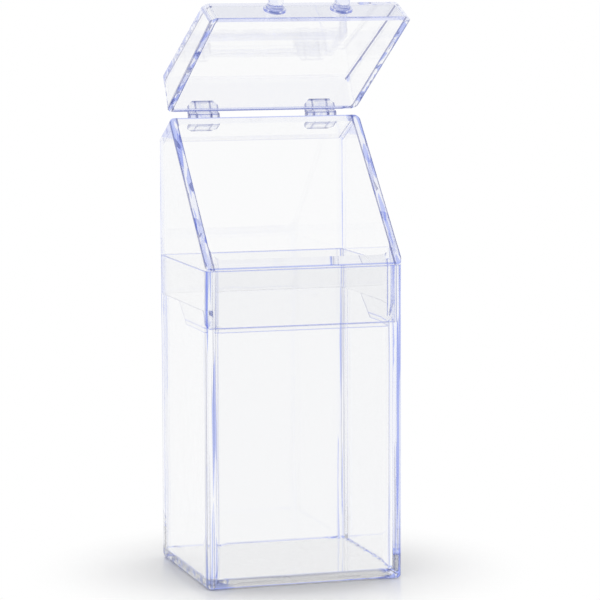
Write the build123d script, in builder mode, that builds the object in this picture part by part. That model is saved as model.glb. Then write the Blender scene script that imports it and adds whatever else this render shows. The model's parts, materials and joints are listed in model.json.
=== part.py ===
from build123d import *
from math import atan2, cos, pi, radians, sin
import os

os.makedirs("parts", exist_ok=True)

# Clear box with a slanted opening and a hinged tray lid, shown with its lid open.
# Millimetres. Origin at the bottom centre of the base, +Z up, +Y towards the hinges.

# ---- driving dimensions: body ----
width = 100.0             # outside, left to right
depth = 90.0              # outside, front to rear
corner = 3.0              # outside radius of the body's corners
inner_corner = 7.0        # inside radius of the base box's upright corners
base_wall = 3.0           # wall of the base box
floor_thick = 5.0         # floor of the base box
foot_round = 2.0          # rounding under the outer bottom edge
base_rim = 156.5          # height of the base box's rim
plug_depth = 20.0         # how far the hood plugs in at the sides and rear
front_plug_depth = 28.5   # how far it plugs in at the front
ledge_step = 1.5          # part of the base wall that is cut away for the plug
ledge_front = 5.0         # distance over which the ledge drops near the front
ledge_corner = 4.0        # radius of the ledge's upright corners
hood_wall = 4.0           # wall of the hood
hood_inner_corner = 2.0   # inside radius of the hood's rear and shoulder edges
shoulder_drop = 10.5      # how far the shoulder falls from the apex to the rear wall
shoulder_run = 20.9       # level length of the shoulder
slant = 45.0              # slope of the opening, degrees
front_lip = 1.0           # height of the hood's front above the base rim
apron_depth = 30.5        # lowest edge of the hood's inner apron below the rim
apron_level_end = -4.5    # where the apron's level edge turns upwards
apron_rise_end = 39.0     # where the apron's sloping edge reaches the rim

# ---- driving dimensions: lid ----
lid_wall = 3.0
lid_corner = 4.0          # outside radius of the tray's four corners
lid_rear_depth = 19.4     # tray depth at the hinges
lid_front_depth = 17.8    # tray depth at the front
lid_front_lean = 97.0     # direction of the closed lid's front wall, degrees
open_angle = 74.0         # how far the lid stands open
edge_round = 1.0          # rounding of the lid's outer ridges

# ---- driving dimensions: hinges and knobs ----
hinge_inset = 19.2        # from the side wall to the middle of each hinge
hinge_width = 15.6
hinge_reach = 8.0         # from the pivot to the far end of a leaf
leaf_thick = 1.7
panel_rise = 0.4          # raised middle panel of a leaf
leaf_bevel = 2.4          # cut corners at the far end of a leaf
panel_start = 3.0         # from the pivot to the panels
panel_inset = 1.0         # from the panels to the far end of a leaf
middle_knuckle = 7.6      # width of the lid leaf's knuckle and of the panels
knuckle_r = 1.95
knuckle_relief = 0.45     # room around a knuckle beside the other leaf
pin_r = 0.8
pivot_drop = 2.6          # pivot below the lid's rim plane
pivot_out = 0.3           # pivot outside the lid's rear wall
pivot_lift = 2.1          # pivot above the shoulder
knob_x = 16.7             # distance of each knob from the middle
knob_flange_r = 5.5
knob_flange_thick = 1.2
knob_bevel = 0.5          # on the edge of a flange
knob_post_r = 3.75
knob_length = 8.5
knob_end_round = 1.5

# ---- fits ----
seat_gap = 0.1            # between bonded pieces
rim_gap = 0.3             # between the closed lid and the hood
plug_gap = 0.15           # around the hood's plug
seam = 0.2                # between the hood and the base rim
knuckle_gap = 0.3         # between neighbouring knuckles
pin_gap = 0.06            # radial clearance of the pins
past = 1.0                # how far a cut runs past the surface that it opens

# ---- shared geometry, in (y, z) of the side view ----
front = -depth / 2
rear = depth / 2
a = radians(slant)
apex_y = rear - shoulder_run
lip_height = base_rim + front_lip
apex_z = lip_height + (apex_y - front) * sin(a) / cos(a)
bend_height = apex_z - shoulder_drop
tall = apex_z + depth               # higher than anything in the hood
s = atan2(shoulder_drop, shoulder_run)
hinge_x = width / 2 - hinge_inset
drop = pivot_drop - rim_gap
pivot_y = apex_y + (drop * cos(s) + pivot_lift * cos(a)) / sin(a + s)
pivot_z = apex_z + (pivot_lift * sin(a) - drop * sin(s)) / sin(a + s)

turn = radians(open_angle)
lid_frame = Plane(
    origin=(0, pivot_y, pivot_z), x_dir=(0, cos(turn), -sin(turn)), z_dir=(1, 0, 0)
)
shoulder_frame = Plane(
    origin=(0, pivot_y, pivot_z), x_dir=(0, cos(s), -sin(s)), z_dir=(1, 0, 0)
)
wall_tilt = radians(90 + slant - open_angle)
lid_wall_frame = Plane(
    origin=(0, pivot_y, pivot_z), x_dir=(0, cos(wall_tilt), sin(wall_tilt)), z_dir=(-1, 0, 0)
)


def ledge_line(raise_by):
    """Side view of everything above the ledge: low at the front, higher at sides and rear."""
    low = base_rim - front_plug_depth + raise_by
    high = base_rim - plug_depth + raise_by
    return [
        (front - past, low),
        (front + base_wall, low),
        (front + base_wall + ledge_front, high),
        (rear + past, high),
        (rear + past, tall),
        (front - past, tall),
    ]


def hood_outline(wall, bottom):
    """Side view of the hood set in by a wall thickness; with no wall it ends at the opening."""
    inner_bend = bend_height - wall * (1 - sin(s)) / cos(s)
    if wall == 0:
        top = [(apex_y, apex_z), (front, lip_height)]
    else:
        beyond = apex_y - 3 * wall
        past_apex = inner_bend + (rear - wall - beyond) * sin(s) / cos(s)
        top = [(beyond, past_apex), (front + wall, past_apex)]
    return [(front + wall, bottom), (rear - wall, bottom), (rear - wall, inner_bend)] + top


# ---- base box ----
with BuildPart() as ledge_space:
    with BuildSketch(Plane.XY.offset(base_rim - front_plug_depth)):
        RectangleRounded(
            width - 2 * (base_wall - ledge_step),
            depth - 2 * (base_wall - ledge_step),
            ledge_corner,
        )
    extrude(amount=front_plug_depth + past)
    with BuildSketch(Plane.YZ):
        with BuildLine():
            Polyline(*ledge_line(0), close=True)
        make_face()
    extrude(amount=width, both=True, mode=Mode.INTERSECT)

with BuildPart() as base_box:
    with BuildSketch():
        RectangleRounded(width, depth, corner)
    extrude(amount=base_rim)
    fillet(base_box.faces().sort_by(Axis.Z)[0].edges(), foot_round)
    with BuildSketch(Plane.XY.offset(floor_thick)):
        RectangleRounded(width - 2 * base_wall, depth - 2 * base_wall, inner_corner)
    extrude(amount=base_rim, mode=Mode.SUBTRACT)
    add(ledge_space.part, mode=Mode.SUBTRACT)
base_box.part.label = "base_box"

# ---- upper hood ----
with BuildPart() as hood_hollow:
    with BuildSketch(Plane.YZ):
        with BuildLine():
            Polyline(*hood_outline(hood_wall, floor_thick), close=True)
        make_face()
    extrude(amount=width / 2 - hood_wall, both=True)
    upright = hood_hollow.edges().filter_by(Axis.Z)
    fillet(upright.group_by(Axis.Y)[0], inner_corner + base_wall - hood_wall)
    fillet(
        upright.group_by(Axis.Y)[-1]
        + hood_hollow.edges()
        .filter_by(Axis.X, reverse=True)
        .filter_by(lambda e: e.center().Z > bend_height and e.center().Y > front + 2 * hood_wall),
        hood_inner_corner,
    )

with BuildPart() as plug:
    with BuildSketch(Plane.XY.offset(base_rim - front_plug_depth)):
        RectangleRounded(
            width - 2 * (base_wall - ledge_step + plug_gap),
            depth - 2 * (base_wall - ledge_step + plug_gap),
            ledge_corner - plug_gap,
        )
    extrude(amount=front_plug_depth + seam)
    with BuildSketch(Plane.YZ):
        with BuildLine():
            Polyline(*ledge_line(rim_gap), close=True)
        make_face()
    extrude(amount=width, both=True, mode=Mode.INTERSECT)

with BuildPart() as apron:
    with BuildSketch(Plane.XY.offset(base_rim - apron_depth)):
        RectangleRounded(
            width - 2 * (base_wall + plug_gap),
            depth - 2 * (base_wall + plug_gap),
            inner_corner - plug_gap,
        )
    extrude(amount=apron_depth + seam)
    with BuildSketch(Plane.YZ):
        with BuildLine():
            Polyline(
                (front, base_rim - apron_depth),
                (apron_level_end, base_rim - apron_depth),
                (apron_rise_end, base_rim),
                (apron_rise_end, base_rim + seam),
                (front, base_rim + seam),
                close=True,
            )
        make_face()
    extrude(amount=width, both=True, mode=Mode.INTERSECT)

with BuildPart() as upper_hood:
    with BuildSketch(Plane.YZ):
        with BuildLine():
            Polyline(*hood_outline(0, 0), close=True)
        make_face()
    extrude(amount=width / 2, both=True)
    fillet(
        upper_hood.edges().filter_by(Axis.Z)
        + upper_hood.edges()
        .filter_by(Axis.X, reverse=True)
        .filter_by(lambda e: apex_y < e.center().Y < rear and e.center().Z > bend_height),
        corner,
    )
    split(bisect_by=Plane.XY.offset(base_rim + seam), keep=Keep.TOP)
    add(plug.part)
    add(apron.part)
    add(hood_hollow.part, mode=Mode.SUBTRACT)
upper_hood.part.label = "upper_hood"

# ---- lid: a tray drawn closed, in the frame that is turned open about the pivot ----
rear_low = (-pivot_out * cos(a) - pivot_drop * sin(a), pivot_drop * cos(a) - pivot_out * sin(a))
rear_high = (rear_low[0] - lid_rear_depth * sin(a), rear_low[1] + lid_rear_depth * cos(a))
front_low = (front - pivot_y, lip_height + rim_gap / cos(a) - pivot_z)
lean = radians(lid_front_lean)
front_high = (front_low[0] + lid_front_depth * cos(lean), front_low[1] + lid_front_depth * sin(lean))

with BuildPart() as lid_shell:
    with BuildSketch(lid_frame):
        with BuildLine():
            Polyline(rear_low, rear_high, front_high, front_low, close=True)
        make_face()
    extrude(amount=width / 2, both=True)
    across = lid_shell.edges().filter_by(Axis.X, reverse=True)
    fillet(across.filter_by(lambda e: e.length < 1.5 * lid_rear_depth), lid_corner)
    rim_face = lid_shell.faces().filter_by(
        lambda f: abs(f.normal_at().dot(lid_frame.x_dir) - sin(a)) < 0.01
        and abs(f.normal_at().dot(lid_frame.y_dir) + cos(a)) < 0.01
    )
    offset(amount=-lid_wall, openings=rim_face)
    ridges = lid_shell.edges().filter_by(Axis.X).filter_by(
        lambda e: any(
            (e.center() - lid_frame.from_local_coords(Vector(*point, 0))).length < 0.1
            for point in (rear_high, front_high)
        )
    )
    fillet(ridges, edge_round)
lid_shell.part.label = "lid_shell"


def leaf_plan(start, reach, wide, end_bevel):
    """Leaf or panel seen square on: from start to reach away from the pivot, far corners cut."""
    return [
        (start, -wide / 2),
        (reach - end_bevel, -wide / 2),
        (reach, end_bevel - wide / 2),
        (reach, wide / 2 - end_bevel),
        (reach - end_bevel, wide / 2),
        (start, wide / 2),
    ]


# ---- hinges: two bonded leaves and a pin each, drawn at the left and mirrored ----
middle_slot = middle_knuckle + 2 * knuckle_gap
relief_r = knuckle_r + knuckle_relief
leaf_outline = leaf_plan(0, hinge_reach, hinge_width, leaf_bevel)
panel_outline = leaf_plan(
    panel_start, hinge_reach - panel_inset, middle_knuckle, leaf_bevel - panel_inset
)

with BuildPart() as hinge_body_leaf_left:
    seat = seat_gap - pivot_lift
    plan = Plane(
        shoulder_frame.from_local_coords((0, seat, -hinge_x)),
        x_dir=shoulder_frame.x_dir,
        z_dir=shoulder_frame.y_dir,
    )
    with BuildSketch(plan):
        with BuildLine():
            Polyline(*leaf_outline, close=True)
        make_face()
    extrude(amount=leaf_thick)
    with BuildSketch(plan):
        with BuildLine():
            Polyline(*panel_outline, close=True)
        make_face()
    extrude(amount=leaf_thick + panel_rise)
    with BuildSketch(shoulder_frame.offset(-hinge_x)):
        Circle(knuckle_r)
    extrude(amount=hinge_width / 2, both=True)
    with BuildSketch(shoulder_frame.offset(-hinge_x)):
        Circle(relief_r)
        with Locations((-relief_r, -relief_r / 2)):
            Rectangle(2 * relief_r, 3 * relief_r)
    extrude(amount=middle_slot / 2, both=True, mode=Mode.SUBTRACT)
    with BuildSketch(shoulder_frame.offset(-hinge_x)):
        Circle(pin_r + pin_gap)
    extrude(amount=hinge_width, both=True, mode=Mode.SUBTRACT)
hinge_body_leaf_left.part.label = "hinge_body_leaf_left"

with BuildPart() as hinge_lid_leaf_left:
    seat = seat_gap - pivot_out
    plan = Plane(
        lid_wall_frame.from_local_coords((0, seat, hinge_x)),
        x_dir=lid_wall_frame.x_dir,
        z_dir=lid_wall_frame.y_dir,
    )
    with BuildSketch(plan):
        with BuildLine():
            Polyline(*leaf_outline, close=True)
        make_face()
    extrude(amount=leaf_thick)
    with BuildSketch(plan):
        with BuildLine():
            Polyline(*panel_outline, close=True)
        make_face()
    extrude(amount=leaf_thick + panel_rise)
    with BuildSketch(lid_wall_frame.offset(hinge_x)):
        Circle(relief_r)
    extrude(amount=hinge_width, both=True, mode=Mode.SUBTRACT)
    with BuildSketch(lid_wall_frame.offset(hinge_x)):
        Circle(knuckle_r)
        with BuildLine():
            Polyline(
                (0, knuckle_r), (0, seat), (panel_start, seat),
                (panel_start, seat + leaf_thick), close=True,
            )
        make_face()
    extrude(amount=middle_knuckle / 2, both=True)
    with BuildSketch(lid_wall_frame.offset(hinge_x)):
        Circle(pin_r + pin_gap)
    extrude(amount=hinge_width, both=True, mode=Mode.SUBTRACT)
hinge_lid_leaf_left.part.label = "hinge_lid_leaf_left"

with BuildPart() as hinge_pin_left:
    with BuildSketch(shoulder_frame.offset(-hinge_x)):
        Circle(pin_r)
    extrude(amount=hinge_width / 2 - knuckle_gap, both=True)
hinge_pin_left.part.label = "hinge_pin_left"

with BuildPart() as hinge_body_leaf_right:
    mirror(hinge_body_leaf_left.part, about=Plane.YZ)
hinge_body_leaf_right.part.label = "hinge_body_leaf_right"

with BuildPart() as hinge_lid_leaf_right:
    mirror(hinge_lid_leaf_left.part, about=Plane.YZ)
hinge_lid_leaf_right.part.label = "hinge_lid_leaf_right"

with BuildPart() as hinge_pin_right:
    mirror(hinge_pin_left.part, about=Plane.YZ)
hinge_pin_right.part.label = "hinge_pin_right"

# ---- knobs on the lid's front wall ----
wall_out = lean + pi / 2 - turn
knob_foot = lid_frame.from_local_coords(
    ((front_low[0] + front_high[0]) / 2, (front_low[1] + front_high[1]) / 2, -knob_x)
)
knob_axis = Vector(0, cos(wall_out), sin(wall_out))

with BuildPart() as knob_left:
    with BuildSketch(Plane(knob_foot + knob_axis * seat_gap, x_dir=(1, 0, 0), z_dir=knob_axis)):
        Circle(knob_flange_r)
    extrude(amount=knob_flange_thick)
    chamfer(knob_left.edges().sort_by(Axis.Z)[-1], knob_bevel)
    with BuildSketch(Plane(knob_foot + knob_axis * seat_gap, x_dir=(1, 0, 0), z_dir=knob_axis)):
        Circle(knob_post_r)
    extrude(amount=knob_length)
    fillet(knob_left.edges().sort_by(Axis.Z)[-1], knob_end_round)
knob_left.part.label = "knob_left"

with BuildPart() as knob_right:
    mirror(knob_left.part, about=Plane.YZ)
knob_right.part.label = "knob_right"

pieces = (
    base_box, upper_hood, lid_shell,
    hinge_body_leaf_left, hinge_body_leaf_right,
    hinge_lid_leaf_left, hinge_lid_leaf_right,
    hinge_pin_left, hinge_pin_right,
    knob_left, knob_right,
)
for piece in pieces:
    export_step(piece.part, "parts/" + piece.part.label + ".step")
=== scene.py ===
"""Looks of a clear plastic box with a slanted opening and a hinged tray lid."""
import json
import math

import bpy
from mathutils import Matrix, Vector

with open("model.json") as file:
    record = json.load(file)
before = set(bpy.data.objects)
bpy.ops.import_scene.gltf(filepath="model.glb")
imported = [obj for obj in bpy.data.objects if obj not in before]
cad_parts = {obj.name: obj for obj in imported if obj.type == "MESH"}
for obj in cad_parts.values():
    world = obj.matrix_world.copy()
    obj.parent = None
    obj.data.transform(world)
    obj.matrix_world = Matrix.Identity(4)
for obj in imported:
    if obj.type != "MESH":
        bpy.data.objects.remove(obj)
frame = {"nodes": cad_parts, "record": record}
bpy.context.view_layer.update()
scene = bpy.context.scene
scene.view_settings.view_transform = "Standard"


class Value:
    """A socket that adds its own Math nodes when it is used in a Python expression."""

    def __init__(self, shader, socket):
        self.shader, self.socket = shader, socket

    def _maths(self, operation, *others, first=None):
        inputs = [first if first is not None else self, *others]
        node = self.shader.node("ShaderNodeMath", {"operation": operation}, dict(enumerate(inputs)))
        return Value(self.shader, node.outputs[0])

    def __add__(self, other):
        return self._maths("ADD", other)

    def __radd__(self, other):
        return self._maths("ADD", self, first=other)

    def __sub__(self, other):
        return self._maths("SUBTRACT", other)

    def __rsub__(self, other):
        return self._maths("SUBTRACT", self, first=other)

    def __mul__(self, other):
        return self._maths("MULTIPLY", other)

    def __rmul__(self, other):
        return self._maths("MULTIPLY", self, first=other)

    def __pow__(self, other):
        return self._maths("POWER", other)

    def __rpow__(self, other):
        return self._maths("POWER", self, first=other)

    def absolute(self):
        return self._maths("ABSOLUTE")

    def at_most(self, other):
        return self._maths("MINIMUM", other)

    def smooth(self, low, high):
        """0 below low, 1 above high, and a smooth step between them."""
        node = self.shader.node(
            "ShaderNodeMapRange",
            {"interpolation_type": "SMOOTHSTEP"},
            {"Value": self, "From Min": low, "From Max": high},
        )
        return Value(self.shader, node.outputs["Result"])


class Shader:
    """Nodes of one material or world."""

    def __init__(self, owner):
        owner.use_nodes = True
        self.tree = owner.node_tree
        self.tree.nodes.clear()

    def node(self, kind, settings=None, sockets=None):
        """One node of any kind: its settings first, then the values or links of its sockets."""
        made = self.tree.nodes.new(kind)
        for name, value in (settings or {}).items():
            setattr(made, name, value)
        for name, value in (sockets or {}).items():
            self.link(value, made.inputs[name])
        return made

    def value(self, kind, output, settings=None, sockets=None):
        """One output of a new node, as a Value."""
        return Value(self, self.node(kind, settings, sockets).outputs[output])

    def link(self, value, socket):
        """Feed a socket from a Value, from another node's socket or with a plain value."""
        if isinstance(value, Value):
            self.tree.links.new(value.socket, socket)
        elif isinstance(value, bpy.types.NodeSocket):
            self.tree.links.new(value, socket)
        else:
            socket.default_value = value

    def place(self):
        """Object coordinates, in metres."""
        return self.node("ShaderNodeTexCoord").outputs["Object"]

    def axes(self, vector):
        """The X, Y and Z of a vector."""
        split = self.node("ShaderNodeSeparateXYZ", None, {"Vector": vector})
        return [Value(self, split.outputs[axis]) for axis in "XYZ"]

    def mixed(self, factor, first, second):
        """Colour between first, at factor 0, and second, at factor 1."""
        node = self.tree.nodes.new("ShaderNodeMix")
        node.data_type = "RGBA"
        by_id = {s.identifier: s for s in node.inputs}
        self.link(factor, by_id["Factor_Float"])
        self.link(first, by_id["A_Color"])
        self.link(second, by_id["B_Color"])
        return {s.identifier: s for s in node.outputs}["Result_Color"]


# ---- camera, as in the photograph ----
lens = 179.59
yaw, pitch, roll = 0.29705, 0.11652, -0.00326
eye = Vector((-0.42561, -1.42629, 0.31016))

forward = Vector((
    math.sin(yaw) * math.cos(pitch), math.cos(yaw) * math.cos(pitch), -math.sin(pitch)
))
level_right = Vector((math.cos(yaw), -math.sin(yaw), 0))
level_up = level_right.cross(forward)
right = math.cos(roll) * level_right + math.sin(roll) * level_up
up = math.cos(roll) * level_up - math.sin(roll) * level_right
camera = bpy.data.objects.new("camera", bpy.data.cameras.new("camera"))
camera.data.lens = lens
camera.data.sensor_width = 36
camera.data.clip_start, camera.data.clip_end = 0.05, 50
camera.matrix_world = Matrix((
    (right.x, up.x, -forward.x, eye.x),
    (right.y, up.y, -forward.y, eye.y),
    (right.z, up.z, -forward.z, eye.z),
    (0, 0, 0, 1),
))
scene.collection.objects.link(camera)
scene.camera = camera


# ---- sizes in the CAD that the colours follow, in metres ----
half_width, half_depth = 0.050, 0.045
floor_top, base_rim, lip = 0.005, 0.1565, 0.1575
hood_wall, lid_wall = 0.004, 0.003
plug_foot, apron_foot = 0.1283, 0.126
apex_z, bend_z = 0.2266, 0.2161
slant, opened = math.radians(45), math.radians(74)
pivot_y, pivot_z = 0.027829, 0.227077
pivot_out, pivot_drop, rim_gap = 0.0003, 0.0026, 0.0003
lid_rear_depth, lid_front_depth = 0.0194, 0.0178
front_lean = math.radians(97)
hinge_x, hinge_half, hinge_reach, knuckle_half = 0.0308, 0.0078, 0.0080, 0.0038
knob_x, post_radius = 0.0167, 0.00375


def turned(y, z, angle):
    """A point turned about X: y cos a - z sin a, y sin a + z cos a."""
    return (
        y * math.cos(angle) - z * math.sin(angle),
        y * math.sin(angle) + z * math.cos(angle),
    )


# Side view of the closed lid, from its pivot: rear ridge, front ridge, the top's outward normal.
ridge_y, ridge_z = turned(-pivot_out, pivot_drop + lid_rear_depth, slant)
front_y, front_z = -half_depth - pivot_y, lip + rim_gap / math.cos(slant) - pivot_z
front_ridge_y = front_y + lid_front_depth * math.cos(front_lean)
front_ridge_z = front_z + lid_front_depth * math.sin(front_lean)
top_slope = math.atan2(ridge_z - front_ridge_z, ridge_y - front_ridge_y)
top_back, top_up = -math.sin(top_slope), math.cos(top_slope)

# Middle of the open lid's front wall, where the knobs stand, and the direction in which they point.
knob_y, knob_z = turned((front_y + front_ridge_y) / 2, (front_z + front_ridge_z) / 2, -opened)
knob_y, knob_z = knob_y + pivot_y, knob_z + pivot_z
knob_lean = front_lean + math.pi / 2 - opened

# ---- colours ----
CLEAR = (0.962, 0.964, 0.968, 1)
# Painted light: the pale and the blue are painted reflections of light caught in the clear walls,
# the navy is painted shade along edges.
PAINTED_PALE_REFLECTION = (0.78, 0.82, 1.0, 1)
PAINTED_BLUE_REFLECTION = (0.10, 0.19, 0.86, 1)
PAINTED_NAVY_SHADE = (0.012, 0.022, 0.20, 1)
ABSORBED = (0.35, 0.45, 1.0, 1)
FLOOR = (0.9, 0.9, 0.9, 1)
WHITE = (1, 1, 1, 1)
OVERHEAD = (0.20, 0.25, 0.55, 1)

# ---- painted lines: their thicknesses, and the places of two of them, in metres ----
HAIR, FINE, MEDIUM, BOLD, HEAVY = 0.0004, 0.0005, 0.0006, 0.0007, 0.0008
FOOT_LINE = 0.0009      # above the ground, on the rounding under the foot
PANEL_LINE = 0.0029     # from the pivot, just short of a leaf's panel


def plastic(name, density, paint):
    """Clear moulded plastic with faint ripples and smudges, coloured with painted reflections and
    shade by paint(shader, place).
    """
    material = bpy.data.materials.new(name)
    shader = Shader(material)
    place = shader.place()
    ripple = shader.node("ShaderNodeTexNoise", None, {"Vector": place, "Scale": 45.0, "Detail": 2.0})
    bump = shader.node("ShaderNodeBump", None, {
        "Height": ripple.outputs["Fac"], "Strength": 0.06, "Distance": 0.0008,
    })
    smudge = shader.value("ShaderNodeTexNoise", "Fac", None, {
        "Vector": place, "Scale": 22.0, "Detail": 5.0, "Roughness": 0.65,
    })
    surface = shader.node("ShaderNodeBsdfPrincipled", None, {
        "Base Color": paint(shader, place),
        "Roughness": smudge.smooth(0.55, 0.8) * 0.035,
        "Normal": bump.outputs["Normal"],
        "IOR": 1.49,
        "Transmission Weight": 1.0,
    })
    inside = shader.node("ShaderNodeVolumeAbsorption", None, {
        "Color": ABSORBED, "Density": density,
    })
    shader.node("ShaderNodeOutputMaterial", None, {
        "Surface": surface.outputs[0], "Volume": inside.outputs[0],
    })
    return material


def cells(shader, place, stretch, clear_share, blur=0.04):
    """0 in a share of the cells of a Voronoi pattern stretched along each axis, 1 in the others."""
    spread = shader.node("ShaderNodeVectorMath", {"operation": "MULTIPLY"}, {0: place, 1: stretch})
    pattern = shader.node("ShaderNodeTexVoronoi", None, {"Vector": spread.outputs[0], "Scale": 1.0})
    tone = shader.axes(pattern.outputs["Color"])[0]
    return tone.smooth(clear_share, clear_share + blur)


def line(distance, thickness):
    """1 within 0.6 of the thickness from distance 0, falling smoothly to 0 at a full thickness."""
    return 1 - distance.absolute().smooth(0.6 * thickness, thickness)


def skin(value, outside, deep, shallow):
    """1 less than shallow under the outside, 0 more than deep under it."""
    return value.smooth(outside - deep, outside - shallow)


def with_painted_light(shader, pale, blue, navy):
    """Clear plastic with painted pale and blue reflections and painted navy shade, each by its mask.
    """
    colour = shader.mixed(pale.at_most(1.0) * 0.4, CLEAR, PAINTED_PALE_REFLECTION)
    colour = shader.mixed(blue.at_most(1.0) * 0.8, colour, PAINTED_BLUE_REFLECTION)
    return shader.mixed(navy.at_most(1.0) * 0.8, colour, PAINTED_NAVY_SHADE)


def base_paint(shader, place):
    """Painted reflections in stripes up the corners, in cells round the foot and in lines at the rim
    and the floor, with painted shade in dark cells and columns.
    """
    x, y, z = shader.axes(place)
    side, end = x.absolute(), y.absolute()
    corner = skin(side, half_width, 0.0065, 0.0035) * skin(end, half_depth, 0.0065, 0.0035)
    outside = skin(side, half_width, 0.0038, 0.0032) + skin(end, half_depth, 0.0038, 0.0032)
    outside = outside.at_most(1.0)
    foot = (1 - z.smooth(floor_top - 0.0002, floor_top + 0.0006)) * outside
    foot_ends = foot * skin(side, half_width, 0.015, 0.008)

    reflection_streaks = corner * cells(shader, place, (900, 900, 22), 0.66)
    blocks = foot_ends * cells(shader, place, (330, 330, 420), 0.52)
    rims = line(z - base_rim, MEDIUM) * 0.6 + line(z - floor_top, HAIR) * outside * 0.4
    rims = rims + line(z - FOOT_LINE, FINE) * outside * 0.6

    dark = foot_ends * cells(shader, place, (420, 420, 500), 0.88, 0.02)
    dark = dark + foot * cells(shader, place, (45, 45, 1500), 0.86, 0.03) * 0.35
    columns = corner * cells(shader, place, (1500, 1500, 9), 0.86, 0.02)
    columns = columns + line(side - half_width, HAIR) * skin(end, half_depth, 0.004, 0.0035) * 0.5
    return with_painted_light(shader, corner * 0.3, reflection_streaks + blocks + rims, dark + columns * 0.7)


def hood_paint(shader, place):
    """Painted reflections in stroke-like cells on the slanted rim, stripes up the corners and lines
    on the crest, shoulder and plug, with painted shade as outlines and dark cells on the rim.
    """
    x, y, z = shader.axes(place)
    side = x.absolute()
    above_opening = (z - lip) * math.cos(slant) - (y + half_depth) * math.sin(slant)
    rim = above_opening.smooth(-0.0007, -0.0003) * (1 - z.smooth(apex_z, apex_z + 0.001))
    posts = rim * skin(side, half_width, 0.0045, 0.0038)
    corner = skin(side, half_width, 0.004, 0.003) * skin(y, half_depth, 0.004, 0.003)

    reflection_strokes = posts * cells(shader, place, (500, 75, 75), 0.6)
    reflection_streaks = corner * cells(shader, place, (900, 900, 30), 0.72)
    crest = line(z - apex_z, MEDIUM) + line(z - lip, FINE) * rim
    shoulder = skin(side, half_width, 0.0016, 0.0008) * z.smooth(bend_z, bend_z + 0.001)
    foot = line(z - apron_foot, FINE) + line(z - plug_foot, HAIR)

    dark = posts * cells(shader, place, (600, 160, 160), 0.9, 0.02)
    outer = line(side - half_width, BOLD) * above_opening.smooth(-0.0012, -0.0008)
    inner = line(side - half_width + hood_wall, MEDIUM) * above_opening.smooth(-0.0009, -0.0005)
    return with_painted_light(
        shader,
        posts * 0.5 + corner * 0.3,
        reflection_strokes * 0.85 + reflection_streaks + shoulder * 0.6 + crest * 0.9 + foot * 0.5,
        (outer + inner) * 1.2 + dark,
    )


def lid_paint(shader, place):
    """Painted reflections in stroke-like cells and bars on the tray's rim, with painted shade as
    outlines on the rim and along the ridges of its top.
    """
    x, y, z = shader.axes(place)
    side = x.absolute()
    closed_y, closed_z = turned(y - pivot_y, z - pivot_z, opened)
    height = closed_z * math.cos(slant) - closed_y * math.sin(slant) - pivot_drop
    under_top = (ridge_y - closed_y) * top_back + (ridge_z - closed_z) * top_up
    rim = 1 - height.smooth(0.0003, 0.0007)
    posts = rim * skin(side, half_width, 0.0038, 0.0032)
    bars = skin(side, half_width, 0.0032, 0.0026) * height.smooth(0.0135, 0.015)

    reflection_strokes = posts * cells(shader, place, (500, 130, 130), 0.58)
    bar_cells = bars * cells(shader, place, (300, 140, 140), 0.62)
    ends = line(height, HAIR) * (1 - posts) * 0.5

    dark = posts * cells(shader, place, (600, 220, 220), 0.84, 0.02)
    outside, inside = side - half_width, side - half_width + lid_wall
    edges = line(outside, HEAVY) * (1 - height.smooth(0.0008, 0.0012))
    edges = edges + line(inside, MEDIUM) * posts
    edges = edges + line(outside, BOLD) * line(under_top, HEAVY)
    edges = edges + line(inside, BOLD) * line(under_top - lid_wall, HEAVY)
    return with_painted_light(
        shader,
        posts * 0.4 + bars * 0.4,
        reflection_strokes + bar_cells * 0.8 + ends,
        edges * 1.2 + dark,
    )


def hinge_paint(shader, place):
    """Outlines of painted shade and reflection at a leaf's end and sides, at its panel and between
    the knuckles, over cells of painted reflection.
    """
    x, y, z = shader.axes(place)
    aside = (x.absolute() - hinge_x).absolute()
    out_y, out_z = y - pivot_y, z - pivot_z
    out = (out_y * out_y + out_z * out_z) ** 0.5
    lines = skin(aside, hinge_half, 0.0007, 0.0004) + skin(out, hinge_reach, 0.0007, 0.0004)
    lines = lines + line(aside - knuckle_half, FINE) + line(out - PANEL_LINE, HAIR) * 0.6
    tone = cells(shader, place, (500, 500, 500), 0.66)
    return with_painted_light(shader, tone * 0.3, tone * 0.15 + lines * 0.3, lines * 0.5)


def knob_paint(shader, place):
    """Dark rings of painted reflection and shade round a knob's flange and round the foot of its
    post, over cells of painted reflection.
    """
    x, y, z = shader.axes(place)
    aside = x.absolute() - knob_x
    cross, height = turned(y - knob_y, z - knob_z, math.pi / 2 - knob_lean)
    radius = (aside * aside + cross * cross) ** 0.5
    foot = line(radius - post_radius, MEDIUM) * (1 - height.smooth(0.0015, 0.0019))
    rings = radius.smooth(0.0051, 0.0054) + foot
    tone = cells(shader, place, (420, 420, 420), 0.72)
    return with_painted_light(shader, tone * 0.4, tone * 0.2 + rings * 0.6, rings * 0.3)


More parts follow.
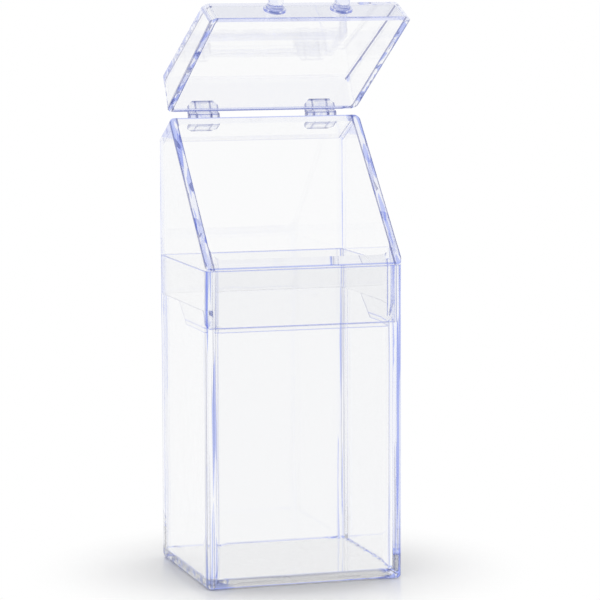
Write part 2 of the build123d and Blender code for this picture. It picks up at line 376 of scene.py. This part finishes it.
# The finish of each slot of the record: how strongly it absorbs light, per metre, and its paint.
finishes = {
    slot: plastic(slot + "_finish", density, paint)
    for slot, density, paint in (
        ("clear_base", 1.0, base_paint),
        ("clear_hood", 1.0, hood_paint),
        ("clear_lid", 1.0, lid_paint),
        ("clear_hinge", 6.0, hinge_paint),
        ("clear_pin", 12.0, hinge_paint),
        ("clear_knob", 6.0, knob_paint),
    )
}
for part in frame["record"]["subparts"]:
    for slot in frame["nodes"][part["node"]].material_slots:
        slot.material = finishes[part["material_slot"]]

# A ray that enters a wall's edge is turned back many times before it leaves the wall.
bounces = 128
scene.cycles.max_bounces = bounces
scene.cycles.transmission_bounces = bounces
scene.cycles.glossy_bounces = bounces


# ---- floor and world ----
def rays(shader, *kinds):
    """1 for rays of any of the kinds."""
    path = shader.node("ShaderNodeLightPath")
    return sum(Value(shader, path.outputs["Is %s Ray" % kind]) for kind in kinds).at_most(1.0)


floor_mesh = bpy.data.meshes.new("floor")
reach = 20.0
floor_mesh.from_pydata(
    [(-reach, -reach, 0), (reach, -reach, 0), (reach, reach, 0), (-reach, reach, 0)],
    [], [(0, 1, 2, 3)],
)
floor = bpy.data.objects.new("floor", floor_mesh)
scene.collection.objects.link(floor)
floor_material = bpy.data.materials.new("pale_floor")
shader = Shader(floor_material)
x, y = shader.axes(shader.place())[:2]
away = (x * x + y * y) ** 0.5
white_mask = away.smooth(0.05, 0.13) * rays(shader, "Camera", "Glossy")
# Painted light: seen through the plastic, the floor glows nearly white, even under the box where its
# shadow falls.
glow_seen_through = away.smooth(0.04, 0.12) * 0.15 + 0.85
white_mask = white_mask + glow_seen_through * rays(shader, "Transmission")
pale = shader.node("ShaderNodeBsdfPrincipled", None, {
    "Base Color": FLOOR, "Roughness": 0.2, "Specular IOR Level": 0.3,
})
white = shader.node("ShaderNodeEmission", None, {"Color": WHITE, "Strength": 1.0})
both = shader.node("ShaderNodeMixShader", None, {
    0: white_mask.at_most(1.0), 1: pale.outputs[0], 2: white.outputs[0],
})
shader.node("ShaderNodeOutputMaterial", None, {"Surface": both.outputs[0]})
floor_mesh.materials.append(floor_material)

world = bpy.data.worlds.new("studio")
scene.world = world
shader = Shader(world)
high = shader.axes(shader.node("ShaderNodeTexCoord").outputs["Generated"])[2]
overhead = high.smooth(0.55, 0.8) * rays(shader, "Glossy", "Transmission")
sky = shader.node("ShaderNodeBackground", None, {
    "Color": shader.mixed(overhead, WHITE, OVERHEAD), "Strength": 1.0,
})
shader.node("ShaderNodeOutputWorld", None, {"Surface": sky.outputs[0]})
